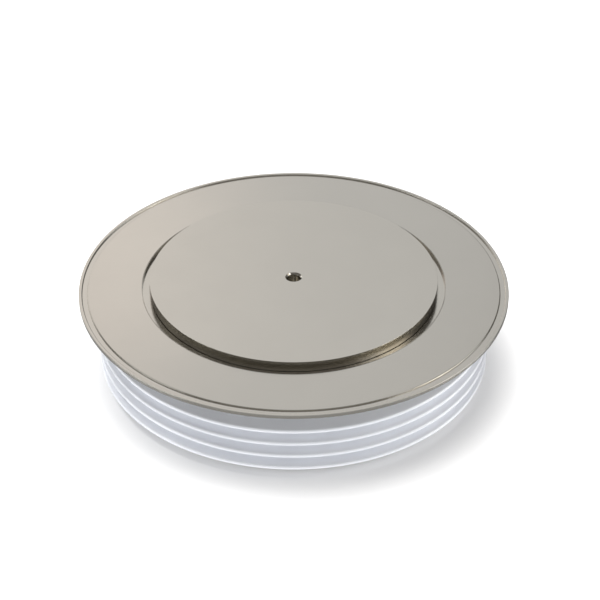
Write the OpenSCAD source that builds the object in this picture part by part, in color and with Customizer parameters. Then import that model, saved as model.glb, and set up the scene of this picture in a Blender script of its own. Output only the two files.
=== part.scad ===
// Disc thyristor in a ceramic press-pack housing, millimetres.
// Z runs up the axis from the anode contact face; the gate terminal points to +Y.

/* [Housing] */
// Height over the two contact faces
body_h = 26; // [25:0.5:36]
// Overhang of the welded rim beyond the sheds
rim_overhang = 4.8; // [3:0.1:8]

/* [Pole pieces] */
// Diameter of each contact face
pole_d = 74; // [66:0.5:77]
// Height of each contact face beyond its flange
pole_proud = 2.3; // [1.5:0.1:3]
// Edge round of each contact face
pole_edge_r = 0.25; // [0.1:0.05:0.6]
// Width of the bare shoulder between a pole and its sheet
bare_land_w = 1.75; // [1.5:0.05:2.5]
// Width of the shoulder that the sheet is brazed on
braze_land_w = 2.25; // [1.5:0.05:3]
// Thickness of the shoulder
shoulder_t = 1.4; // [1:0.1:2]
// Height of the anode pole up to its inner face
anode_pole_h = 9.4; // [7:0.1:11]
// Chamfer around each inner face
inner_chamfer = 1; // [0.5:0.1:1.5]
// Diameter of the locating hole in each contact face
locating_d = 3.5; // [2.5:0.1:6]
// Depth of the locating hole
locating_depth = 3; // [2:0.1:3.6]
// Chamfer of the locating hole
locating_chamfer = 0.4; // [0.2:0.05:0.8]

/* [Flanges] */
// Thickness of the lid sheet
lid_t = 0.5; // [0.4:0.05:1]
// Thickness of the sheet on top of the ceramic
weld_sheet_t = 0.45; // [0.3:0.05:1]
// Thickness of the sheet under the ceramic
anode_sheet_t = 0.5; // [0.3:0.05:1]
// Width of the rim outside the weld groove
weld_lip_w = 0.9; // [0.5:0.1:2]
// Width of the weld groove
weld_groove_w = 1.3; // [0.5:0.1:2]
// Depth of the weld groove in the lid
lid_groove_depth = 0.35; // [0.1:0.05:0.35]
// Depth of the weld groove in the sheet below
weld_groove_depth = 0.2; // [0.1:0.05:0.25]
// Width of ceramic that the lower sheet covers
anode_lap_w = 4.5; // [3:0.1:5.5]
// Setback of the weld sheet from the bore of the ceramic
weld_setback = 0.3; // [0.1:0.1:1]

/* [Ceramic ring] */
// Gap between a shoulder and the bore of the ceramic
shell_gap = 1; // [0.5:0.1:2]
// Wall of the plain neck
neck_wall = 4.5; // [3:0.1:6]
// Least height of the plain neck
neck_min_h = 4.6; // [4.3:0.1:7]
// Reach of the sheds beyond the neck
shed_reach = 3.7; // [2.6:0.1:6]
// Distance between sheds
shed_pitch = 3.7; // [3.2:0.1:5.5]
// Crest radius of a shed
shed_crest_r = 0.7; // [0.4:0.05:0.9]
// Slope of a shed's flanks in degrees
shed_slope = 30; // [22:1:36]
// Fillet radius between two sheds
shed_root_r = 0.4; // [0.2:0.05:0.6]
// Fillet radius at the foot of the neck
neck_root_r = 0.8; // [0.3:0.1:1.5]
// Height of the lowest crest above the ceramic's lower face
shed_first = 1.1; // [1:0.1:2.5]
// Chamfer on the ceramic's end edges
ceramic_chamfer = 0.4; // [0.2:0.1:0.8]

/* [Wafer stack] */
// Thickness of the foil on the anode pole
foil_t = 0.2; // [0.1:0.05:0.5]
// Thickness of the anode carrier disc
anode_moly_t = 2.4; // [1.5:0.1:3]
// Thickness of the wafer
wafer_t = 1; // [0.6:0.05:1.4]
// Thickness of the cathode disc
cathode_moly_t = 1.6; // [1.2:0.1:2.2]
// Overhang of the wafer beyond the pole
wafer_overhang = 1.1; // [0.5:0.1:1.6]
// Width of the wafer's bevel
bevel_w = 1.5; // [0.8:0.1:2]
// Height of the wafer's rim below the bevel
bevel_rim_t = 0.25; // [0.1:0.05:0.4]
// Width of seal on the wafer's flat
seal_w = 0.6; // [0.3:0.1:1]
// Gap between the seal and the cathode disc
seal_gap = 0.5; // [0.2:0.1:1]
// Gap between the seal and the cathode pole
seal_clear = 0.4; // [0.2:0.1:0.8]
// Gap between the locating ring and what it holds
ring_fit = 0.15; // [0.05:0.05:0.3]

/* [Gate contact] */
// Bore for the gate contact in the cathode pole
gate_bore_d = 10; // [9:0.1:14]
// Depth of that bore
gate_bore_depth = 7.1; // [6:0.1:7.4]
// Gap between the insulating cup and the bore
cup_fit = 0.1; // [0.05:0.05:0.2]
// Wall of the insulating cup
cup_wall = 0.8; // [0.5:0.1:1.1]
// Thickness of the guide washer
guide_t = 1; // [0.6:0.1:1.4]
// Gap between the pin and what guides it
pin_fit = 0.15; // [0.05:0.05:0.3]
// Diameter of the pin's tip
pin_tip_d = 3; // [2:0.1:4]
// Thickness of the pin's collar
pin_collar_t = 1.4; // [1.2:0.1:1.8]
// Diameter of the pin's stem inside the spring
pin_stem_d = 2.4; // [1.5:0.1:3]
// Height of that stem
pin_stem_h = 1.6; // [1:0.1:2]
// Gap around the pin in the cathode disc
disc_hole_gap = 0.9; // [0.5:0.1:1.5]
// Wire diameter of the spring
spring_wire_d = 0.6; // [0.4:0.05:0.65]
// Turns of the spring
spring_turns = 4; // [3:0.5:4]
// Gap around the spring in the cup
spring_gap = 0.3; // [0.2:0.05:0.5]

/* [Gate lead] */
// Diameter of the wire
lead_d = 0.9; // [0.6:0.05:1]
// Length of wire brazed into the pin's collar
lead_seat = 1; // [0.6:0.1:1.4]
// Gap around the wire
lead_fit = 0.1; // [0.05:0.05:0.15]
// Wall of the insulating sleeve
sleeve_wall = 0.45; // [0.3:0.05:0.55]
// Gap around the sleeve
sleeve_fit = 0.2; // [0.1:0.05:0.3]
// Distance between the bend in the wire and the edge of the pole
lead_rise = 7; // [5:0.5:12]

/* [Terminals] */
// Outer diameter of the gate tube
tube_d = 3; // [2.6:0.1:3.2]
// Wall of the gate tube
tube_wall = 0.5; // [0.3:0.05:0.7]
// Braze gap around the gate tube
braze_fit = 0.05; // [0.02:0.01:0.1]
// Length of tube inside the ceramic's bore
tube_in = 0.6; // [0.3:0.1:0.9]
// Length of tube outside the neck
tube_out = 1.4; // [1:0.1:2.5]
// Wall of the terminal's cap on the tube
cap_wall = 0.4; // [0.3:0.05:0.6]
// Gap between that cap and the neck
cap_gap = 0.2; // [0.1:0.05:0.5]
// Width of the push-on blades
blade_w = 2.8; // [2.4:0.1:4.8]
// Thickness of the blades
blade_t = 0.5; // [0.4:0.05:0.8]
// Length of the blades
blade_l = 6.3; // [5:0.1:7]
// Chamfer at the blade's tip
blade_chamfer = 0.6; // [0.3:0.1:0.9]
// Detent hole in each blade
blade_hole_d = 1.2; // [0.8:0.1:1.4]
// Distance of the detent hole from the tip
blade_hole_back = 3; // [2:0.1:4]
// Turn of the cathode terminal about the axis, from the gate terminal
aux_turn = 12; // [10:1:60]
// Width of the cathode terminal's welded foot
aux_foot_w = 3; // [2:0.1:4]
// Length of that foot
aux_foot_l = 4; // [2:0.1:4.5]

/* [Hidden] */
$fn = 96;
eps = 0.01;
arc_steps = 8;
spring_sides = 6;
spring_rings = 18;
rod_sides = 12;

nickel = "#c6c0b5";
sheet_nickel = "#bfb9ad";
glaze = "#f2f4f7";
tinned = "#c9c9c6";
molybdenum = "#8b8d92";
silicon = "#5f646e";
silver = "#e4e2dd";
rubber = "#b8402c";
white_plastic = "#f4f2ea";
spring_steel = "#9a9a9c";

// Radii, from the axis outwards
pole_r = pole_d / 2;
sheet_bore_r = pole_r + bare_land_w;
shoulder_r = sheet_bore_r + braze_land_w;
bore_r = shoulder_r + shell_gap;
neck_r = bore_r + neck_wall;
shed_r = neck_r + shed_reach;
rim_r = shed_r + rim_overhang;
groove_outer_r = rim_r - weld_lip_w;
groove_inner_r = groove_outer_r - weld_groove_w;

// Heights of the housing
anode_sheet_z = pole_proud;
ceramic_z = anode_sheet_z + anode_sheet_t;
lid_top_z = body_h - pole_proud;
lid_z = lid_top_z - lid_t;
weld_sheet_z = lid_z - weld_sheet_t;
ceramic_top_z = weld_sheet_z;

// Outline of the sheds
crest_c_r = shed_r - shed_crest_r;
flank_r = crest_c_r + shed_crest_r * sin(shed_slope);
flank_half = shed_crest_r * cos(shed_slope);
vee_r = flank_r - (shed_pitch / 2 - flank_half) / tan(shed_slope);
root_c_r = vee_r + shed_root_r / sin(shed_slope);
flank_rise = flank_half + (flank_r - neck_r) * tan(shed_slope);
shed_room = ceramic_top_z - ceramic_z - shed_first - flank_rise - neck_min_h;
shed_count = 1 + max(0, floor(shed_room / shed_pitch));
shed_z = ceramic_z + shed_first;
top_shed_z = shed_z + (shed_count - 1) * shed_pitch;
neck_foot_z = top_shed_z + flank_rise;

// Heights of the wafer stack
foil_z = anode_pole_h;
anode_moly_z = foil_z + foil_t;
wafer_z = anode_moly_z + anode_moly_t;
wafer_top_z = wafer_z + wafer_t;
cathode_face_z = wafer_top_z + cathode_moly_t;
ring_z = ceramic_z + shoulder_t;

// Radii of the wafer stack
wafer_r = pole_r + wafer_overhang;
wafer_flat_r = wafer_r - bevel_w;
seal_r = wafer_flat_r - seal_w;
cathode_moly_r = seal_r - seal_gap;

// Gate contact
gate_bore_r = gate_bore_d / 2;
gate_bore_top_z = cathode_face_z + gate_bore_depth;
cup_r = gate_bore_r - cup_fit;
cup_in_r = cup_r - cup_wall;
cup_roof_z = gate_bore_top_z - cup_wall;
pin_tip_r = pin_tip_d / 2;
collar_r = cup_in_r - pin_fit;
collar_z = cathode_face_z + guide_t + pin_fit;
collar_top_z = collar_z + pin_collar_t;
spring_wire_r = spring_wire_d / 2;
spring_r = cup_in_r - spring_gap - spring_wire_r;
spring_z = collar_top_z + spring_wire_r;
spring_rise = cup_roof_z - collar_top_z - spring_wire_d;
spring_last = spring_turns * spring_rings;

// Gate lead, in the plane X = 0
lead_r = lead_d / 2;
sleeve_r = lead_r + lead_fit + sleeve_wall;
slot_w = 2 * (sleeve_r + sleeve_fit);
lead_z = collar_z + pin_collar_t / 2;
gate_z = (neck_foot_z + ceramic_top_z) / 2;
slot_top_z = gate_z + slot_w / 2;
bend_y = pole_r - lead_rise;
tube_start_y = bore_r - tube_in;
tube_end_y = neck_r + tube_out;
lead_route = [[collar_r - lead_seat, lead_z], [bend_y, lead_z],
              [pole_r, gate_z], [tube_end_y, gate_z]];
sleeve_route = [[cup_in_r, lead_z], [bend_y, lead_z],
                [pole_r, gate_z], [tube_start_y - sleeve_fit, gate_z]];

// Terminals
tube_r = tube_d / 2;
cap_r = tube_r + braze_fit + cap_wall;
cap_end_y = tube_end_y + cap_wall;
blade_y = tube_end_y + cap_wall / 2;
blade_tip_y = cap_end_y + blade_l;

// Points of an arc in the plane of a section
function arc(c, r, from, to) =
    [for (i = [0:arc_steps]) let (a = from + (to - from) * i / arc_steps)
        c + r * [cos(a), sin(a)]];

// A closed section turned about the axis
module turned(points) {
    rotate_extrude()
        polygon(points);
}

// A flat ring between two radii
module ring(inner, outer, z, h) {
    turned([[inner, z], [outer, z], [outer, z + h], [inner, z + h]]);
}

// A cylinder along +Y in the plane X = 0
module along_y(r, from, to, z) {
    translate([0, from, z])
        rotate([-90, 0, 0])
            cylinder(r = r, h = to - from);
}

// Faces between neighbouring rings of points, each ring with the same number of sides
function wall_faces(rings, sides) =
    [for (i = [0:rings - 2]) for (j = [0:sides - 1])
        let (k = (j + 1) % sides)
        [i * sides + j, (i + 1) * sides + j, (i + 1) * sides + k, i * sides + k]];

// A closed rod through rings of points
module skinned(points, sides) {
    rings = len(points) / sides;
    first_cap = [for (j = [0:sides - 1]) j];
    last_cap = [for (j = [sides - 1:-1:0]) (rings - 1) * sides + j];
    polyhedron(points, concat(wall_faces(rings, sides), [first_cap, last_cap]));
}

// A tube through rings of points, with an open bore through rings of its own
module skinned_tube(outer, inner, sides) {
    rings = len(outer) / sides;
    n = len(outer);
    last = n - sides;
    bore_faces = [for (f = wall_faces(rings, sides)) [f[3] + n, f[2] + n, f[1] + n, f[0] + n]];
    end_faces = [for (j = [0:sides - 1])
        let (k = (j + 1) % sides)
        each [[j, k, n + k, n + j], [last + k, last + j, last + n + j, last + n + k]]];
    polyhedron(concat(outer, inner), concat(wall_faces(rings, sides), bore_faces, end_faces));
}

// Direction from one route point to the next
function heading(route, i) =
    let (step = route[i + 1] - route[i])
    step / norm(step);

// Vector across a route at one of its points, longer at a mitred bend
function across(route, i) =
    let (before = heading(route, max(i - 1, 0)),
         after = heading(route, min(i, len(route) - 2)),
         mid = before + after,
         side = [-mid[1], mid[0]])
    side / (side * [-before[1], before[0]]);

// Rings of points at radius r around a route of (y, z) points in the plane X = 0
function rod_points(route, r) =
    [for (i = [0:len(route) - 1]) for (j = [0:rod_sides - 1])
        let (a = 360 * j / rod_sides,
             p = route[i] + r * sin(a) * across(route, i))
        [r * cos(a), p[0], p[1]]];

// Blind hole that opens downwards at z, with a chamfered mouth
module locating_cut(z) {
    translate([0, 0, z - eps])
        cylinder(d = locating_d, h = locating_depth + eps);
    translate([0, 0, z])
        cylinder(d1 = locating_d + 2 * locating_chamfer, d2 = locating_d, h = locating_chamfer);
}

// Solid of a pole that stands on its contact face, up to its inner face at height h
module pole_blank(h, shoulder_z) {
    turned(concat(
        [[0, 0]],
        arc([pole_r - pole_edge_r, pole_edge_r], pole_edge_r, -90, 0),
        [[pole_r, shoulder_z], [shoulder_r, shoulder_z],
         [shoulder_r, shoulder_z + shoulder_t], [pole_r, shoulder_z + shoulder_t],
         [pole_r, h - inner_chamfer], [pole_r - inner_chamfer, h], [0, h]]));
}

module anode_pole() {
    color(nickel)
        difference() {
            pole_blank(anode_pole_h, ceramic_z);
            locating_cut(0);
        }
}

module cathode_pole() {
    color(nickel)
        difference() {
            translate([0, 0, body_h])
                mirror([0, 0, 1])
                    difference() {
                        pole_blank(body_h - cathode_face_z, body_h - lid_z);
                        locating_cut(0);
                    }
            translate([0, 0, cathode_face_z - eps])
                cylinder(r = gate_bore_r, h = gate_bore_depth + eps);
            translate([-slot_w / 2, 0, cathode_face_z - eps])
                cube([slot_w, shoulder_r + eps, slot_top_z - cathode_face_z + eps]);
        }
}

module lid_flange() {
    color(sheet_nickel)
        difference() {
            ring(sheet_bore_r, rim_r, lid_z, lid_t);
            ring(groove_inner_r, groove_outer_r, lid_top_z - lid_groove_depth, lid_groove_depth + eps);
        }
}

module weld_flange() {
    color(sheet_nickel)
        difference() {
            ring(bore_r + weld_setback, rim_r, weld_sheet_z, weld_sheet_t);
            ring(groove_inner_r, groove_outer_r, weld_sheet_z - eps, weld_groove_depth + eps);
        }
}

module anode_flange() {
    color(sheet_nickel)
        ring(sheet_bore_r, bore_r + anode_lap_w, anode_sheet_z, anode_sheet_t);
}

// Outer edge of the sheds, from the lowest crest up to the foot of the neck
function shed_outline() =
    concat(
        [for (i = [0:shed_count - 1])
            let (z = shed_z + i * shed_pitch)
            each concat(
                arc([crest_c_r, z], shed_crest_r, shed_slope - 90, 90 - shed_slope),
                i == shed_count - 1 ? [] :
                    arc([root_c_r, z + shed_pitch / 2], shed_root_r, 270 - shed_slope, 90 + shed_slope))],
        arc([neck_r + neck_root_r,
             neck_foot_z + neck_root_r * (1 - sin(shed_slope)) / cos(shed_slope)],
            neck_root_r, 270 - shed_slope, 180));

module ceramic_ring() {
    lower_edge_r = flank_r - (shed_first - flank_half) / tan(shed_slope);
    color(glaze)
        difference() {
            turned(concat(
                [[bore_r, ceramic_z + ceramic_chamfer], [bore_r + ceramic_chamfer, ceramic_z],
                 [lower_edge_r, ceramic_z]],
                shed_outline(),
                [[neck_r, ceramic_top_z - ceramic_chamfer], [neck_r - ceramic_chamfer, ceramic_top_z],
                 [bore_r + ceramic_chamfer, ceramic_top_z], [bore_r, ceramic_top_z - ceramic_chamfer]]));
            along_y(tube_r + braze_fit, bore_r - shell_gap, shed_r, gate_z);
        }
}

module gate_tube() {
    crimp_l = tube_out;
    color(nickel)
        difference() {
            along_y(tube_r, tube_start_y, tube_end_y, gate_z);
            along_y(tube_r - tube_wall, tube_start_y - eps, tube_end_y - crimp_l, gate_z);
            along_y(lead_r + lead_fit, tube_start_y, tube_end_y + eps, gate_z);
        }
}

// A push-on blade along +Y with a chamfered tip and a detent hole
module blade(z) {
    half = blade_w / 2;
    translate([0, 0, z - blade_t / 2])
        linear_extrude(blade_t)
            difference() {
                polygon([[-half, blade_y], [half, blade_y],
                         [half, blade_tip_y - blade_chamfer], [half - blade_chamfer, blade_tip_y],
                         [blade_chamfer - half, blade_tip_y], [-half, blade_tip_y - blade_chamfer]]);
                translate([0, blade_tip_y - blade_hole_back])
                    circle(d = blade_hole_d);
            }
}

module gate_tab() {
    color(tinned) {
        difference() {
            along_y(cap_r, neck_r + cap_gap, cap_end_y, gate_z);
            along_y(tube_r + braze_fit, neck_r, tube_end_y, gate_z);
        }
        blade(gate_z);
    }
}

module aux_cathode_tab() {
    side = -blade_w / 2;
    color(tinned)
        rotate([0, 0, -aux_turn]) {
            blade(gate_z);
            translate([side, blade_y, gate_z - blade_t / 2])
                cube([blade_t, aux_foot_l, weld_sheet_z - gate_z + blade_t / 2]);
            translate([side - aux_foot_w, blade_y, weld_sheet_z - blade_t])
                cube([aux_foot_w + blade_t, aux_foot_l, blade_t]);
        }
}

module anode_foil() {
    color(silver)
        translate([0, 0, foil_z])
            cylinder(r = pole_r - inner_chamfer, h = foil_t);
}

module anode_moly_disc() {
    color(molybdenum)
        translate([0, 0, anode_moly_z])
            cylinder(r = wafer_r, h = anode_moly_t);
}

module silicon_wafer() {
    color(silicon)
        turned([[0, wafer_z], [wafer_r, wafer_z], [wafer_r, wafer_z + bevel_rim_t],
                [wafer_flat_r, wafer_top_z], [0, wafer_top_z]]);
}

module edge_seal() {
    seal_top_z = cathode_face_z - seal_clear;
    color(rubber)
        turned([[wafer_r, wafer_z + bevel_rim_t], [wafer_r, seal_top_z],
                [seal_r, seal_top_z], [seal_r, wafer_top_z], [wafer_flat_r, wafer_top_z]]);
}

module cathode_moly_disc() {
    color(molybdenum)
        ring(pin_tip_r + disc_hole_gap, cathode_moly_r, wafer_top_z, cathode_moly_t);
}

module locating_ring() {
    ledge_z = anode_moly_z - ring_fit;
    outer = bore_r - ring_fit;
    top_z = cathode_face_z - seal_clear;
    color(white_plastic)
        turned([[pole_r + ring_fit, ring_z], [outer, ring_z], [outer, top_z],
                [wafer_r + ring_fit, top_z], [wafer_r + ring_fit, ledge_z],
                [pole_r + ring_fit, ledge_z]]);
}

module gate_pin() {
    color(nickel)
        difference() {
            turned([[0, wafer_top_z], [pin_tip_r, wafer_top_z], [pin_tip_r, collar_z],
                    [collar_r, collar_z], [collar_r, collar_top_z],
                    [pin_stem_d / 2, collar_top_z], [pin_stem_d / 2, collar_top_z + pin_stem_h],
                    [0, collar_top_z + pin_stem_h]]);
            along_y(lead_r + braze_fit, collar_r - lead_seat, cup_r, lead_z);
        }
}

// Corner of the spring wire's section on one ring of the helix
function spring_point(ring_i, side_i) =
    let (turn = 360 * spring_turns * ring_i / spring_last,
         a = 360 * side_i / spring_sides,
         r = spring_r + spring_wire_r * cos(a))
    [r * cos(turn), r * sin(turn),
     spring_z + spring_rise * ring_i / spring_last + spring_wire_r * sin(a)];

module gate_spring() {
    color(spring_steel)
        skinned([for (i = [0:spring_last]) for (j = [0:spring_sides - 1]) spring_point(i, j)],
                spring_sides);
}

module gate_cup() {
    notch_top_z = lead_z + slot_w / 2;
    color(white_plastic)
        difference() {
            ring(0, cup_r, cathode_face_z, gate_bore_depth);
            translate([0, 0, cathode_face_z - eps])
                cylinder(r = cup_in_r, h = cup_roof_z - cathode_face_z + eps);
            translate([-slot_w / 2, 0, cathode_face_z - eps])
                cube([slot_w, cup_r + eps, notch_top_z - cathode_face_z + eps]);
        }
}

module gate_guide() {
    color(white_plastic)
        ring(pin_tip_r + pin_fit, cup_in_r, cathode_face_z, guide_t);
}

module gate_lead() {
    color(silver)
        skinned(rod_points(lead_route, lead_r), rod_sides);
}

module gate_sleeve() {
    color(white_plastic)
        skinned_tube(rod_points(sleeve_route, sleeve_r),
                     rod_points(sleeve_route, lead_r + lead_fit), rod_sides);
}

cathode_pole();
lid_flange();
weld_flange();
ceramic_ring();
anode_flange();
anode_pole();
gate_tube();
gate_tab();
aux_cathode_tab();
anode_foil();
anode_moly_disc();
silicon_wafer();
edge_seal();
cathode_moly_disc();
locating_ring();
gate_pin();
gate_spring();
gate_cup();
gate_guide();
gate_lead();
gate_sleeve();
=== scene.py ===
"""Disc thyristor: finished surfaces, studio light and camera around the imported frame, in metres."""

import math

import bmesh
import bpy
from mathutils import Matrix, Vector


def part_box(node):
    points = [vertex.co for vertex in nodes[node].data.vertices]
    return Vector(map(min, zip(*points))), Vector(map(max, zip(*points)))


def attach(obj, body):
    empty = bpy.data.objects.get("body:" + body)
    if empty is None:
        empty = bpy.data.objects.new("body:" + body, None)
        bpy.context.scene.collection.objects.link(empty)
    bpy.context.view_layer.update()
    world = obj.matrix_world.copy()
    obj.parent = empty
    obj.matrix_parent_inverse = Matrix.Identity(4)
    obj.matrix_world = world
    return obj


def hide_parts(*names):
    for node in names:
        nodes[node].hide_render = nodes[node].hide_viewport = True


MM = 0.001

# Mesh fineness
SEGMENTS = 256
FINE_SEGMENTS = 64
ARC_STEPS = 8
SHARP_ANGLE = math.radians(40)
SAME = 0.004 * MM

# Edge rounds and chamfers of the metal pieces
FACE_EDGE = 0.03 * MM
SHEET_EDGE = 0.1 * MM
SEAM_EDGE = 0.03 * MM
GROOVE_EDGE = 0.2 * MM
HOLE_EDGE = 0.06 * MM
CORNER_FILLET = 0.08 * MM
BORE_EDGE = 0.1 * MM
INNER_CHAMFER = 1 * MM

# Wall of each pole, inside the frame's wall, and the relief groove at its foot
WALL_INSET = 0.2 * MM
RELIEF_W = 0.16 * MM
RELIEF_DEPTH = 0.35 * MM

# Rise of the lid towards its bore, and the fine joint line round the bore
LID_DISH = 0.35 * MM
JOINT_BACK = 0.15 * MM
JOINT_W = 0.1 * MM
JOINT_DEPTH = 0.25 * MM

# Gate bore and slot inside the cathode pole
GATE_BORE_R = 5 * MM
SLOT_W = 2.4 * MM

# Sheds of the ceramic
SHED_SLOPE = math.radians(30)
SHED_CREST_R = 0.7 * MM
SHED_ROOT_R = 0.4 * MM
NECK_FOOT_R = 0.8 * MM
CERAMIC_EDGE = 0.4 * MM
BRAZE_FIT = 0.05 * MM

# Push-on terminals
BLADE_W = 2.8 * MM
BLADE_T = 0.5 * MM
BLADE_TIP = 0.6 * MM
BLADE_EDGE = 0.08 * MM
DETENT_R = 0.6 * MM
DETENT_BACK = 3 * MM
CAP_WALL = 0.4 * MM
CAP_EDGE = 0.15 * MM
FOOT_W = 3 * MM
FOOT_L = 4 * MM
BEND_OUTER_R = 0.7 * MM
AUX_TURN = math.radians(12)

# Camera, fitted to the ellipses of the photograph
LENS_MM = 129.56
SENSOR_MM = 36
EYE_DISTANCE = 553.79 * MM
EYE_ELEVATION = math.radians(34.292)
AIM_X = 1.576 * MM
AIM_Y = -7.04 * MM

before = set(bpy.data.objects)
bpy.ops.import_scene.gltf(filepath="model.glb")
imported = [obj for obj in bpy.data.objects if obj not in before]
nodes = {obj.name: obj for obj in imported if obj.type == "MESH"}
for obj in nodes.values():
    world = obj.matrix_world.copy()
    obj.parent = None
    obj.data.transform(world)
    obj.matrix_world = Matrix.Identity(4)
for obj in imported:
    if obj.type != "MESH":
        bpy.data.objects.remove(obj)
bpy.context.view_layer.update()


# Sizes read from the frame

def distinct(values):
    """Values that differ by more than SAME, lowest first."""
    kept = []
    for value in sorted(values):
        if not kept or value - kept[-1] > SAME:
            kept.append(value)
    return kept


def turned_points(node):
    """(radius, height) of each vertex of a node."""
    return [(math.hypot(v.co.x, v.co.y), v.co.z) for v in nodes[node].data.vertices]


def radii(node, low, high):
    """Distinct radii of a node between two heights."""
    return distinct(r for r, z in turned_points(node) if low - SAME < z < high + SAME)


def heights(node, low, high):
    """Distinct heights of a node between two radii."""
    return distinct(z for r, z in turned_points(node) if low - SAME < r < high + SAME)


lid_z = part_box("lid_flange")[0].z
lid_top_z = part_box("lid_flange")[1].z
weld_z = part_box("weld_flange")[0].z
anode_sheet_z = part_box("anode_flange")[0].z
ceramic_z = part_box("ceramic_ring")[0].z
cathode_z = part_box("cathode_pole")[1].z
cathode_inner_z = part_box("cathode_pole")[0].z
anode_inner_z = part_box("anode_pole")[1].z
gate_bore_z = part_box("gate_cup")[1].z
gate_z = (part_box("gate_tab")[0].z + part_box("gate_tab")[1].z) / 2

sheet_bore_r, groove_in_r, groove_out_r, rim_r = radii("lid_flange", lid_z, lid_top_z)
weld_bore_r = radii("weld_flange", weld_z, lid_z)[0]
anode_bore_r, anode_sheet_r = radii("anode_flange", anode_sheet_z, ceramic_z)
lid_groove_z = heights("lid_flange", groove_in_r, groove_out_r)[0]
weld_groove_z = heights("weld_flange", groove_in_r, groove_out_r)[1]

shoulder_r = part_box("cathode_pole")[1].x
pole_r = radii("cathode_pole", lid_top_z, cathode_z)[-1]
hole_r = radii("cathode_pole", lid_top_z, cathode_z)[0]
mouth_r = radii("cathode_pole", cathode_z, cathode_z)[0]
mouth_depth, hole_depth = heights("anode_pole", hole_r, hole_r)
shoulder_depth, shoulder_end = heights("anode_pole", shoulder_r, shoulder_r)

shed_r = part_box("ceramic_ring")[1].x
crest_heights = heights("ceramic_ring", shed_r, shed_r)
bore_r = radii("ceramic_ring", ceramic_z, weld_z)[0]
neck_r = radii("ceramic_ring", weld_z - CERAMIC_EDGE, weld_z - CERAMIC_EDGE)[-1]


# Meshes

def rounded(corners):
    """Outline through corners of (across, up, edge round), each round drawn as an arc."""
    outline = []
    for i, (across, up, edge) in enumerate(corners):
        here = Vector((across, up))
        if not edge:
            outline.append(here)
            continue
        before = (Vector(corners[i - 1][:2]) - here).normalized()
        after = (Vector(corners[(i + 1) % len(corners)][:2]) - here).normalized()
        half = before.angle(after) / 2
        centre = here + (before + after).normalized() * edge / math.sin(half)
        start = here + before * edge / math.tan(half) - centre
        end = here + after * edge / math.tan(half) - centre
        sweep = start.angle_signed(end)
        for step in range(ARC_STEPS + 1):
            outline.append(centre + Matrix.Rotation(-sweep * step / ARC_STEPS, 2) @ start)
    return outline


def new_object(name, bm):
    """An object with the mesh that was built, its faces turned outwards."""
    bmesh.ops.recalc_face_normals(bm, faces=bm.faces)
    mesh = bpy.data.meshes.new(name)
    bm.to_mesh(mesh)
    bm.free()
    made = bpy.data.objects.new(name, mesh)
    bpy.context.scene.collection.objects.link(made)
    return made


def join_rings(bm, first, second):
    """Faces between two rings of vertices; a ring on the axis is one vertex."""
    sides = max(len(first), len(second))
    for k in range(sides if sides > 1 else 0):
        after = k + 1
        corners = [first[k % len(first)], first[after % len(first)],
                   second[after % len(second)], second[k % len(second)]]
        bm.faces.new(dict.fromkeys(corners))


def turned(name, outline, segments=SEGMENTS):
    """A closed outline of (radius, height) points turned about Z."""
    bm = bmesh.new()
    rings = []
    for radius, height in outline:
        count = segments if radius > SAME else 1
        angles = [2 * math.pi * k / segments for k in range(count)]
        rings.append([bm.verts.new((radius * math.cos(a), radius * math.sin(a), height)) for a in angles])
    for first, second in zip(rings, rings[1:] + rings[:1]):
        join_rings(bm, first, second)
    return new_object(name, bm)


def rod(name, radius, low, high):
    """A plain round bar about Z, for cutting bores."""
    return turned(name, [(0, low), (radius, low), (radius, high), (0, high)], FINE_SEGMENTS)


def extruded(name, outline, length, edge=0):
    """A flat outline in the XY plane, raised by a length along Z, its edges rounded."""
    bm = bmesh.new()
    base = bm.faces.new([bm.verts.new((x, y, 0)) for x, y in outline])
    raised = bmesh.ops.extrude_face_region(bm, geom=[base])["geom"]
    top = [v for v in raised if isinstance(v, bmesh.types.BMVert)]
    bmesh.ops.translate(bm, verts=top, vec=(0, 0, length))
    if edge:
        bmesh.ops.bevel(bm, geom=bm.edges[:], offset=edge, segments=3, profile=0.5, affect="EDGES")
    return new_object(name, bm)


def combine(piece, tool, operation):
    """Cuts a piece with a tool, or joins them, and removes the tool."""
    change = piece.modifiers.new(operation, "BOOLEAN")
    change.operation = operation
    change.solver = "EXACT"
    change.object = tool
    evaluated = piece.evaluated_get(bpy.context.evaluated_depsgraph_get())
    piece.data = bpy.data.meshes.new_from_object(evaluated)
    piece.modifiers.clear()
    bpy.data.objects.remove(tool)


def move(piece, *steps):
    """Applies matrices to a piece's mesh, first one first."""
    for step in steps:
        piece.data.transform(step)
    return piece


def stand_for(piece, node, material):
    """Finishes a piece that takes the place of a frame node."""
    piece.data.shade_smooth()
    piece.data.set_sharp_from_angle(angle=SHARP_ANGLE)
    piece.data.materials.clear()
    piece.data.materials.append(material)
    piece.modifiers.new("even_normals", "WEIGHTED_NORMAL").keep_sharp = True
    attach(piece, "root")
    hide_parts(node)


ALONG_Y = Matrix.Rotation(-math.pi / 2, 4, "X")
TO_GATE = Matrix.Translation((0, 0, gate_z))


# Material building blocks

# Colour sockets of the Mix node
MIX_TONES = slice(6, 8)
MIX_RESULT = 2


def add(tree, kind, settings=None, **sockets):
    """A shader node; each socket gets a value or a link, and its name has _ for a space."""
    made = tree.nodes.new(kind)
    for name, value in (settings or {}).items():
        setattr(made, name, value)
    for name, value in sockets.items():
        socket = made.inputs[name.replace("_", " ")]
        if isinstance(value, bpy.types.NodeSocket):
            tree.links.new(value, socket)
        else:
            socket.default_value = value
    return made


def new_material(name):
    """A material with its node tree and its Principled shader."""
    material = bpy.data.materials.new(name)
    material.use_nodes = True
    return material, material.node_tree, material.node_tree.nodes["Principled BSDF"]


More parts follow.
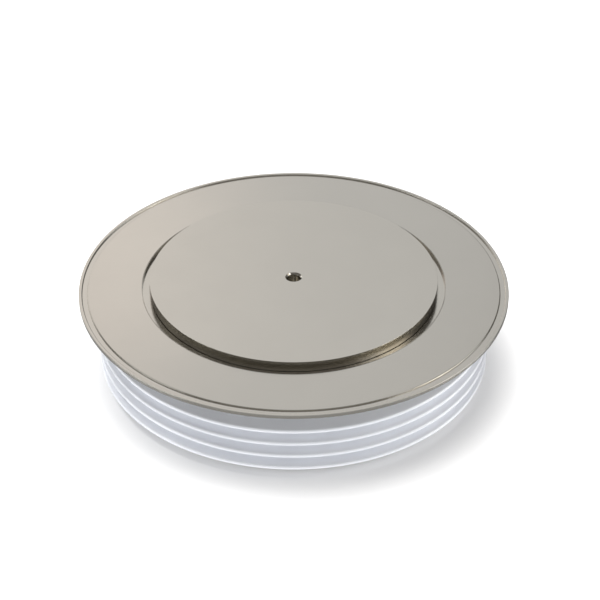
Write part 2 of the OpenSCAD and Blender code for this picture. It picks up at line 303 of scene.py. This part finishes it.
def noise(tree, per_metre, detail=3.0, stretch=(1, 1, 1), turn=0.0):
    """Noise over the object's own coordinates, with so many features to the metre."""
    place = add(tree, "ShaderNodeTexCoord").outputs["Object"]
    mapped = add(tree, "ShaderNodeMapping", Vector=place, Scale=stretch, Rotation=(0, 0, turn))
    made = add(tree, "ShaderNodeTexNoise", Vector=mapped.outputs["Vector"], Scale=per_metre, Detail=detail)
    return made.outputs["Fac"]


def spread(tree, factor, low, high, start=0.3, end=0.7):
    """A factor's range from start to end, spread smoothly from low to high."""
    made = add(tree, "ShaderNodeMapRange", {"interpolation_type": "SMOOTHSTEP"}, Value=factor,
               From_Min=start, From_Max=end, To_Min=low, To_Max=high)
    return made.outputs["Result"]


def tones(tree, factor, first, second):
    """A colour between two tones, each a colour or a link."""
    made = add(tree, "ShaderNodeMix", {"data_type": "RGBA"})
    tree.links.new(factor, made.inputs["Factor"])
    for socket, tone in zip(made.inputs[MIX_TONES], (first, second)):
        if isinstance(tone, bpy.types.NodeSocket):
            tree.links.new(tone, socket)
        else:
            socket.default_value = (*tone, 1)
    return made.outputs[MIX_RESULT]


def bumps(tree, *reliefs):
    """One normal from several (height, strength, distance) reliefs, each over the one before."""
    normal = None
    for height, strength, distance in reliefs:
        below = {"Normal": normal} if normal else {}
        made = add(tree, "ShaderNodeBump", Height=height, Strength=strength, Distance=distance, **below)
        normal = made.outputs["Normal"]
    return normal


def scaled(colour, factor):
    """A colour made lighter or darker."""
    return tuple(c * factor for c in colour)


def link(tree, shader, **sockets):
    """Links outputs to the shader's sockets, whose names have _ for a space."""
    for name, output in sockets.items():
        tree.links.new(output, shader.inputs[name.replace("_", " ")])


# Materials

PLATE_RELIEF = 0.004 * MM


def nickel(name, colour, roughness, grazing):
    """Satin nickel plate with faint clouds, a fine grain and hairlines; grazing dims it at flat angles."""
    material, tree, shader = new_material(name)
    shader.inputs["Metallic"].default_value = 1
    shader.inputs["Specular Tint"].default_value = (grazing, grazing, grazing, 1)
    cloud = noise(tree, per_metre=70, detail=4)
    gloss = noise(tree, per_metre=240, detail=5)
    grain = noise(tree, per_metre=2500, detail=2)
    scratch = noise(tree, per_metre=60, detail=2, stretch=(1, 45, 1), turn=0.5)
    crossing = noise(tree, per_metre=50, detail=2, stretch=(60, 1, 1), turn=0.9)
    link(tree, shader,
         Base_Color=tones(tree, spread(tree, cloud, 0, 1), scaled(colour, 0.992), scaled(colour, 1.008)),
         Roughness=spread(tree, gloss, roughness - 0.006, roughness + 0.006),
         Normal=bumps(tree, (grain, 0.02, PLATE_RELIEF),
                      (spread(tree, scratch, 0, 1, start=0.66, end=0.72), 0.03, PLATE_RELIEF),
                      (spread(tree, crossing, 0, 1, start=0.67, end=0.73), 0.03, PLATE_RELIEF)))
    return material


def glaze(name):
    """White glaze on alumina: a cool white with faint clouds, pinholes and a soft waviness."""
    material, tree, shader = new_material(name)
    shader.inputs["Coat Weight"].default_value = 0.35
    shader.inputs["Coat Roughness"].default_value = 0.12
    cloud = noise(tree, per_metre=90, detail=4)
    pinhole = noise(tree, per_metre=2600, detail=2)
    wave = noise(tree, per_metre=260, detail=3)
    pits = spread(tree, pinhole, 0, 0.25, start=0.7, end=0.76)
    base = tones(tree, spread(tree, cloud, 0, 1), (0.646, 0.665, 0.708), (0.666, 0.685, 0.728))
    link(tree, shader,
         Base_Color=tones(tree, pits, base, (0.57, 0.59, 0.63)),
         Roughness=spread(tree, cloud, 0.3, 0.36),
         Normal=bumps(tree, (wave, 0.12, 0.02 * MM), (pinhole, 0.04, 0.006 * MM)))
    return material


def drawn_metal(name, colour, roughness, stretch):
    """Rolled or drawn metal: fine lines along one direction."""
    material, tree, shader = new_material(name)
    shader.inputs["Metallic"].default_value = 1
    lines = noise(tree, per_metre=900, detail=4, stretch=stretch)
    cloud = noise(tree, per_metre=300, detail=3)
    link(tree, shader,
         Base_Color=tones(tree, spread(tree, cloud, 0, 1), scaled(colour, 0.95), scaled(colour, 1.05)),
         Roughness=spread(tree, lines, roughness - 0.06, roughness + 0.06),
         Normal=bumps(tree, (lines, 0.12, 0.01 * MM)))
    return material


def moulded(name, first, second, roughness, relief):
    """Moulded plastic or rubber: two near tones and a fine skin texture."""
    material, tree, shader = new_material(name)
    cloud = noise(tree, per_metre=220, detail=4)
    skin = noise(tree, per_metre=5000, detail=3)
    link(tree, shader,
         Base_Color=tones(tree, spread(tree, cloud, 0, 1), first, second),
         Roughness=spread(tree, skin, roughness - 0.05, roughness + 0.05),
         Normal=bumps(tree, (skin, relief, 0.01 * MM)))
    return material


def polished_silicon(name):
    """Polished silicon: dark and glossy, with a faint cool cast."""
    material, tree, shader = new_material(name)
    shader.inputs["Metallic"].default_value = 0.6
    shader.inputs["IOR"].default_value = 2.4
    cloud = noise(tree, per_metre=60, detail=3)
    link(tree, shader,
         Base_Color=tones(tree, spread(tree, cloud, 0, 1), (0.11, 0.12, 0.15), (0.14, 0.15, 0.19)),
         Roughness=spread(tree, cloud, 0.08, 0.14))
    return material


NICKEL = (0.622, 0.602, 0.55)
pole_nickel = nickel("pole_nickel", scaled(NICKEL, 1.069), roughness=0.2, grazing=0.65)
sheet_nickel = nickel("sheet_nickel", scaled(NICKEL, 0.99), roughness=0.15, grazing=1.0)
white_glaze = glaze("white_glaze")
tinned_brass = drawn_metal("tinned_brass", (0.66, 0.66, 0.64), 0.3, (25, 1, 1))
tube_nickel = drawn_metal("tube_nickel", (0.58, 0.55, 0.5), 0.32, (25, 1, 25))
silver = drawn_metal("silver", (0.8, 0.79, 0.76), 0.22, (1, 12, 1))
molybdenum = drawn_metal("molybdenum", (0.27, 0.28, 0.3), 0.36, (1, 1, 1))
silicon = polished_silicon("silicon")
silicone_rubber = moulded("silicone_rubber", (0.44, 0.05, 0.025), (0.52, 0.07, 0.035), 0.55, 0.2)
white_plastic = moulded("white_plastic", (0.88, 0.87, 0.81), (0.92, 0.91, 0.85), 0.42, 0.1)
spring_steel = drawn_metal("spring_steel", (0.33, 0.33, 0.34), 0.3, (1, 1, 25))


# Pieces of the housing

def pole_corners(face_z, inward):
    """Corners of a pole from its locating hole, over the contact face, to the end of the shoulder."""
    wall_r = pole_r - WALL_INSET
    relief = shoulder_depth + RELIEF_DEPTH
    corners = [(0, hole_depth, 0), (hole_r, hole_depth, HOLE_EDGE),
               (hole_r, mouth_depth, HOLE_EDGE), (mouth_r, 0, HOLE_EDGE),
               (wall_r, 0, FACE_EDGE), (wall_r, relief, 0),
               (wall_r + RELIEF_W, relief, 0), (wall_r + RELIEF_W, shoulder_depth, SEAM_EDGE),
               (shoulder_r, shoulder_depth, SHEET_EDGE), (shoulder_r, shoulder_end, SHEET_EDGE),
               (pole_r, shoulder_end, CORNER_FILLET)]
    return [(r, face_z + inward * depth, edge) for r, depth, edge in corners]


def cathode_pole():
    """Upper pole with the gate bore in its inner face and the slot for the gate lead."""
    corners = pole_corners(cathode_z, -1)
    corners += [(pole_r, cathode_inner_z + INNER_CHAMFER, 0), (pole_r - INNER_CHAMFER, cathode_inner_z, 0),
                (GATE_BORE_R, cathode_inner_z, HOLE_EDGE), (GATE_BORE_R, gate_bore_z, HOLE_EDGE),
                (0, gate_bore_z, 0)]
    piece = turned("upper_pole", rounded(corners))
    half = SLOT_W / 2
    slot = extruded("slot", [(-half, 0), (half, 0), (half, shoulder_r), (-half, shoulder_r)],
                    gate_z + half - cathode_inner_z + MM)
    combine(piece, move(slot, Matrix.Translation((0, 0, cathode_inner_z - MM))), "DIFFERENCE")
    stand_for(piece, "cathode_pole", pole_nickel)


def anode_pole():
    """Lower pole, the same outside, with a plain inner face."""
    corners = pole_corners(0, 1)
    corners += [(pole_r, anode_inner_z - INNER_CHAMFER, 0), (pole_r - INNER_CHAMFER, anode_inner_z, 0),
                (0, anode_inner_z, 0)]
    stand_for(turned("lower_pole", rounded(corners)), "anode_pole", pole_nickel)


def lid_flange():
    """Slightly dished lid sheet, with the weld groove pressed into it and a fine line round its bore."""
    joint_r = sheet_bore_r + JOINT_BACK
    crown_z = lid_top_z + LID_DISH
    corners = [(sheet_bore_r, lid_z, SEAM_EDGE), (rim_r, lid_z, SEAM_EDGE), (rim_r, lid_top_z, SHEET_EDGE),
               (groove_out_r, lid_top_z, GROOVE_EDGE), (groove_out_r, lid_groove_z, CORNER_FILLET),
               (groove_in_r, lid_groove_z, CORNER_FILLET), (groove_in_r, lid_top_z, GROOVE_EDGE),
               (joint_r + JOINT_W, crown_z, 0), (joint_r + JOINT_W, crown_z - JOINT_DEPTH, 0),
               (joint_r, crown_z - JOINT_DEPTH, 0), (joint_r, crown_z, 0),
               (sheet_bore_r, crown_z, BORE_EDGE)]
    stand_for(turned("lid_sheet", rounded(corners)), "lid_flange", sheet_nickel)


def weld_flange():
    """Sheet on top of the ceramic, with the weld groove in its lower side."""
    corners = [(weld_bore_r, weld_z, SEAM_EDGE), (groove_in_r, weld_z, SHEET_EDGE),
               (groove_in_r, weld_groove_z, CORNER_FILLET), (groove_out_r, weld_groove_z, CORNER_FILLET),
               (groove_out_r, weld_z, SHEET_EDGE), (rim_r, weld_z, SHEET_EDGE),
               (rim_r, lid_z, SEAM_EDGE), (weld_bore_r, lid_z, SEAM_EDGE)]
    stand_for(turned("weld_sheet", rounded(corners)), "weld_flange", sheet_nickel)


def anode_flange():
    """Flat sheet under the ceramic."""
    corners = [(anode_bore_r, anode_sheet_z, SHEET_EDGE), (anode_sheet_r, anode_sheet_z, SHEET_EDGE),
               (anode_sheet_r, ceramic_z, SEAM_EDGE), (anode_bore_r, ceramic_z, SEAM_EDGE)]
    stand_for(turned("lower_sheet", rounded(corners)), "anode_flange", sheet_nickel)


def ceramic_ring():
    """Glazed ring with rounded sheds, a plain neck and the bore for the gate tube."""
    apex_r = shed_r + SHED_CREST_R * (1 / math.sin(SHED_SLOPE) - 1)
    rise = math.tan(SHED_SLOPE)
    corners = [(bore_r, ceramic_z + CERAMIC_EDGE, 0), (bore_r + CERAMIC_EDGE, ceramic_z, 0),
               (apex_r - (crest_heights[0] - ceramic_z) / rise, ceramic_z, 0)]
    for crest, above in zip(crest_heights, crest_heights[1:]):
        corners.append((apex_r, crest, SHED_CREST_R))
        corners.append((apex_r - (above - crest) / 2 / rise, (crest + above) / 2, SHED_ROOT_R))
    corners += [(apex_r, crest_heights[-1], SHED_CREST_R),
                (neck_r, crest_heights[-1] + (apex_r - neck_r) * rise, NECK_FOOT_R),
                (neck_r, weld_z - CERAMIC_EDGE, 0), (neck_r - CERAMIC_EDGE, weld_z, 0),
                (bore_r + CERAMIC_EDGE, weld_z, 0), (bore_r, weld_z - CERAMIC_EDGE, 0)]
    piece = turned("glazed_ring", rounded(corners))
    tube_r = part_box("gate_tube")[1].x
    bore = rod("gate_bore", tube_r + BRAZE_FIT, shoulder_r, shed_r)
    combine(piece, move(bore, ALONG_Y, TO_GATE), "DIFFERENCE")
    stand_for(piece, "ceramic_ring", white_glaze)


# Terminals

def blade(name, root_y, tip_y):
    """A push-on blade along +Y at the height of the gate, with a chamfered tip and a detent hole."""
    half = BLADE_W / 2
    outline = [(-half, root_y), (half, root_y), (half, tip_y - BLADE_TIP), (half - BLADE_TIP, tip_y),
               (BLADE_TIP - half, tip_y), (-half, tip_y - BLADE_TIP)]
    piece = move(extruded(name, outline, BLADE_T, BLADE_EDGE), Matrix.Translation((0, 0, -BLADE_T / 2)))
    detent = move(rod("detent", DETENT_R, -BLADE_T, BLADE_T),
                  Matrix.Translation((0, tip_y - DETENT_BACK, 0)))
    combine(piece, detent, "DIFFERENCE")
    return move(piece, TO_GATE)


def gate_tab():
    """Gate terminal: a cap on the end of the gate tube, with a blade."""
    start_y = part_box("gate_tab")[0].y
    tip_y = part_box("gate_tab")[1].y
    cap_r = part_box("gate_tab")[1].x
    tube_end_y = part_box("gate_tube")[1].y
    end_y = tube_end_y + CAP_WALL
    socket_r = cap_r - CAP_WALL
    cap = turned("gate_terminal", rounded([
        (0, tube_end_y, 0), (socket_r, tube_end_y, CORNER_FILLET), (socket_r, start_y, SEAM_EDGE),
        (cap_r, start_y, CAP_EDGE), (cap_r, end_y, CAP_EDGE), (0, end_y, 0)]), FINE_SEGMENTS)
    move(cap, ALONG_Y, TO_GATE)
    combine(cap, blade("gate_blade", end_y - CAP_WALL / 2, tip_y), "UNION")
    stand_for(cap, "gate_tab", tinned_brass)


def aux_cathode_tab():
    """Cathode terminal: a strip bent up beside its blade, with a foot under the rim sheet."""
    tip_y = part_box("gate_tab")[1].y
    root_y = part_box("gate_tube")[1].y + CAP_WALL / 2
    side = -BLADE_W / 2
    low = gate_z - BLADE_T / 2
    inner_r = BEND_OUTER_R - BLADE_T
    section = rounded([
        (-side - BLADE_EDGE, low, 0), (-side - BLADE_EDGE, low + BLADE_T, 0),
        (side + BLADE_T, low + BLADE_T, inner_r), (side + BLADE_T, weld_z, BEND_OUTER_R),
        (side - FOOT_W, weld_z, BLADE_EDGE), (side - FOOT_W, weld_z - BLADE_T, BLADE_EDGE),
        (side, weld_z - BLADE_T, inner_r), (side, low, BEND_OUTER_R)])
    strip = extruded("cathode_terminal", section, FOOT_L)
    move(strip, Matrix.Rotation(math.pi / 2, 4, "X"), Matrix.Translation((0, root_y + FOOT_L, 0)))
    combine(strip, blade("cathode_blade", root_y + BLADE_EDGE, tip_y), "UNION")
    move(strip, Matrix.Rotation(-AUX_TURN, 4, "Z"))
    stand_for(strip, "aux_cathode_tab", tinned_brass)


def finish_inner_nodes():
    """Materials of the nodes that keep their own mesh."""
    finishes = [
        (tube_nickel, ["gate_tube"]),
        (silver, ["anode_foil", "gate_pin", "gate_lead"]),
        (molybdenum, ["anode_moly_disc", "cathode_moly_disc"]),
        (silicon, ["silicon_wafer"]),
        (silicone_rubber, ["edge_seal"]),
        (white_plastic, ["locating_ring", "gate_cup", "gate_guide", "gate_sleeve"]),
        (spring_steel, ["gate_spring"])]
    for material, names in finishes:
        for name in names:
            for slot in nodes[name].material_slots:
                slot.material = material


# Studio, in metres and watts

FLOOR_SIZE = 6.0
FLOOR_DROP = 0.02 * MM
FLOOR_ALBEDO = 0.66
FLOOR_GLOW = 0.09
KEY_DISTANCE = 1.2
KEY_LEAN = math.radians(9.5)
KEY_AZIMUTH = math.radians(-122)
KEY_SIZE = 1.1
KEY_WATTS = 30.4
UNDER_DROP = 0.2
UNDER_SIZE = 4.0
UNDER_WATTS = 74.0

# Tones of the surroundings, and the heights between which one passes into the next
BELOW = (0.36, 0.36, 0.36)
HORIZON = (0.8, 0.8, 0.8)
ABOVE = (0.14, 0.13, 0.12)
BELOW_TO_HORIZON = (-0.42, -0.2)
HORIZON_TO_ABOVE = (0.2, 0.36)

# Places in the sky, in degrees: azimuth, elevation, and how far from there a light stays full and ends
DIM_CORNER = (140, 8, 25, 50)
DIM_TONE = (0.08, 0.076, 0.072)
BACK_LEFT = (-160, 30, 22, 36)
BACK_RIGHT = (160, 30, 22, 36)
BACK_TONE = (0.605, 0.61, 0.62)
NO_LIGHT = (0, 0, 0)

# Cards around the object, each with its place and its tone
CARDS = [
    ((-166, 31, 3, 13), (0.33, 0.27, 0.24)),
    ((-142, 10, 8, 25), (0.9, 0.87, 0.83)),
    ((-120, 34, 4, 18), (0.12, 0.115, 0.1)),
    ((87, 35, 4, 17), (0.85, 0.77, 0.65)),
    ((72, 38, 8, 24), (0.2, 0.18, 0.16)),
    ((70, 48, 3, 8), (3.2, 3.2, 3.2)),
    ((72, 13, 6, 16), (2.4, 2.35, 2.2)),
    ((92, 2, 10, 30), (2.7, 2.7, 2.7)),
    ((-75, 0, 10, 30), (2.4, 2.4, 2.4)),
    ((0, 90, 10, 35), (0.5, 0.5, 0.5)),
]


def direction(azimuth, elevation):
    """Unit vector; azimuth is from -Y, where the camera stands, towards +X."""
    flat = math.cos(elevation)
    return Vector((math.sin(azimuth) * flat, -math.cos(azimuth) * flat, math.sin(elevation)))


def floor():
    """Pale floor that only the camera sees; it glows a little, so that the shadow stays light."""
    bm = bmesh.new()
    bmesh.ops.create_grid(bm, x_segments=1, y_segments=1, size=FLOOR_SIZE / 2)
    ground = move(new_object("floor", bm), Matrix.Translation((0, 0, -FLOOR_DROP)))
    material, tree, shader = new_material("floor")
    shader.inputs["Base Color"].default_value = (FLOOR_ALBEDO, FLOOR_ALBEDO, FLOOR_ALBEDO, 1)
    shader.inputs["Roughness"].default_value = 1
    shader.inputs["Specular IOR Level"].default_value = 0
    shader.inputs["Emission Color"].default_value = (1, 1, 1, 1)
    shader.inputs["Emission Strength"].default_value = FLOOR_GLOW
    ground.data.materials.append(material)
    ground.visible_diffuse = False
    ground.visible_glossy = False
    ground.visible_shadow = False


def key_light():
    """Soft light from above, a little from the back left, that casts the floor's shadow."""
    light = bpy.data.lights.new("key", "AREA")
    light.shape = "DISK"
    light.size = KEY_SIZE
    light.energy = KEY_WATTS
    lamp = bpy.data.objects.new("key", light)
    towards = direction(KEY_AZIMUTH, math.pi / 2 - KEY_LEAN)
    lamp.location = towards * KEY_DISTANCE
    lamp.rotation_euler = towards.to_track_quat("Z", "Y").to_euler()
    lamp.visible_glossy = False
    bpy.context.scene.collection.objects.link(lamp)


def under_light():
    """Light from below, as from a lit table, that brightens the crests of the ceramic."""
    light = bpy.data.lights.new("under", "AREA")
    light.size = UNDER_SIZE
    light.energy = UNDER_WATTS
    lamp = bpy.data.objects.new("under", light)
    lamp.location = (0, 0, -UNDER_DROP)
    lamp.rotation_euler = (math.pi, 0, 0)
    lamp.visible_glossy = False
    bpy.context.scene.collection.objects.link(lamp)


def within(tree, ray, azimuth, elevation, core, edge):
    """Factor that is 1 within an angle of a direction in the sky and fades out to its edge."""
    dot = add(tree, "ShaderNodeVectorMath", {"operation": "DOT_PRODUCT"})
    tree.links.new(ray, dot.inputs[0])
    dot.inputs[1].default_value = direction(math.radians(azimuth), math.radians(elevation))
    outer = math.cos(math.radians(edge))
    inner = math.cos(math.radians(core))
    return spread(tree, dot.outputs["Value"], 0, 1, start=outer, end=inner)


def card(tree, ray, place, colour):
    """Light from a place in the sky."""
    return tones(tree, within(tree, ray, *place), NO_LIGHT, colour)


def sky():
    """Studio surroundings: a white horizon, dim above, a tall light behind and cards around."""
    world = bpy.data.worlds.new("studio")
    world.use_nodes = True
    bpy.context.scene.world = world
    tree = world.node_tree
    ray = add(tree, "ShaderNodeTexCoord").outputs["Generated"]
    up = add(tree, "ShaderNodeSeparateXYZ", Vector=ray).outputs["Z"]
    upper = tones(tree, spread(tree, up, 0, 1, *HORIZON_TO_ABOVE), HORIZON, ABOVE)
    around = tones(tree, spread(tree, up, 0, 1, *BELOW_TO_HORIZON), BELOW, upper)
    total = tones(tree, within(tree, ray, *DIM_CORNER), around, DIM_TONE)
    behind = tones(tree, within(tree, ray, *BACK_RIGHT), NO_LIGHT, card(tree, ray, BACK_LEFT, BACK_TONE))
    for light in [behind] + [card(tree, ray, place, tone) for place, tone in CARDS]:
        both = add(tree, "ShaderNodeVectorMath", {"operation": "ADD"})
        tree.links.new(total, both.inputs[0])
        tree.links.new(light, both.inputs[1])
        total = both.outputs["Vector"]
    tree.links.new(total, tree.nodes["Background"].inputs["Color"])


def camera():
    """Camera at the photograph's place, aimed without shift."""
    data = bpy.data.cameras.new("camera")
    data.lens = LENS_MM
    data.sensor_width = SENSOR_MM
    eye = bpy.data.objects.new("camera", data)
    centre = Vector((0, 0, lid_top_z))
    eye.location = centre + direction(0, EYE_ELEVATION) * EYE_DISTANCE
    aim = centre + Vector((AIM_X, AIM_Y, 0))
    eye.rotation_euler = (aim - eye.location).to_track_quat("-Z", "Y").to_euler()
    bpy.context.scene.collection.objects.link(eye)
    bpy.context.scene.camera = eye


cathode_pole()
anode_pole()
lid_flange()
weld_flange()
anode_flange()
ceramic_ring()
gate_tab()
aux_cathode_tab()
finish_inner_nodes()
floor()
key_light()
under_light()
sky()
camera()
bpy.context.scene.view_settings.view_transform = "Standard"
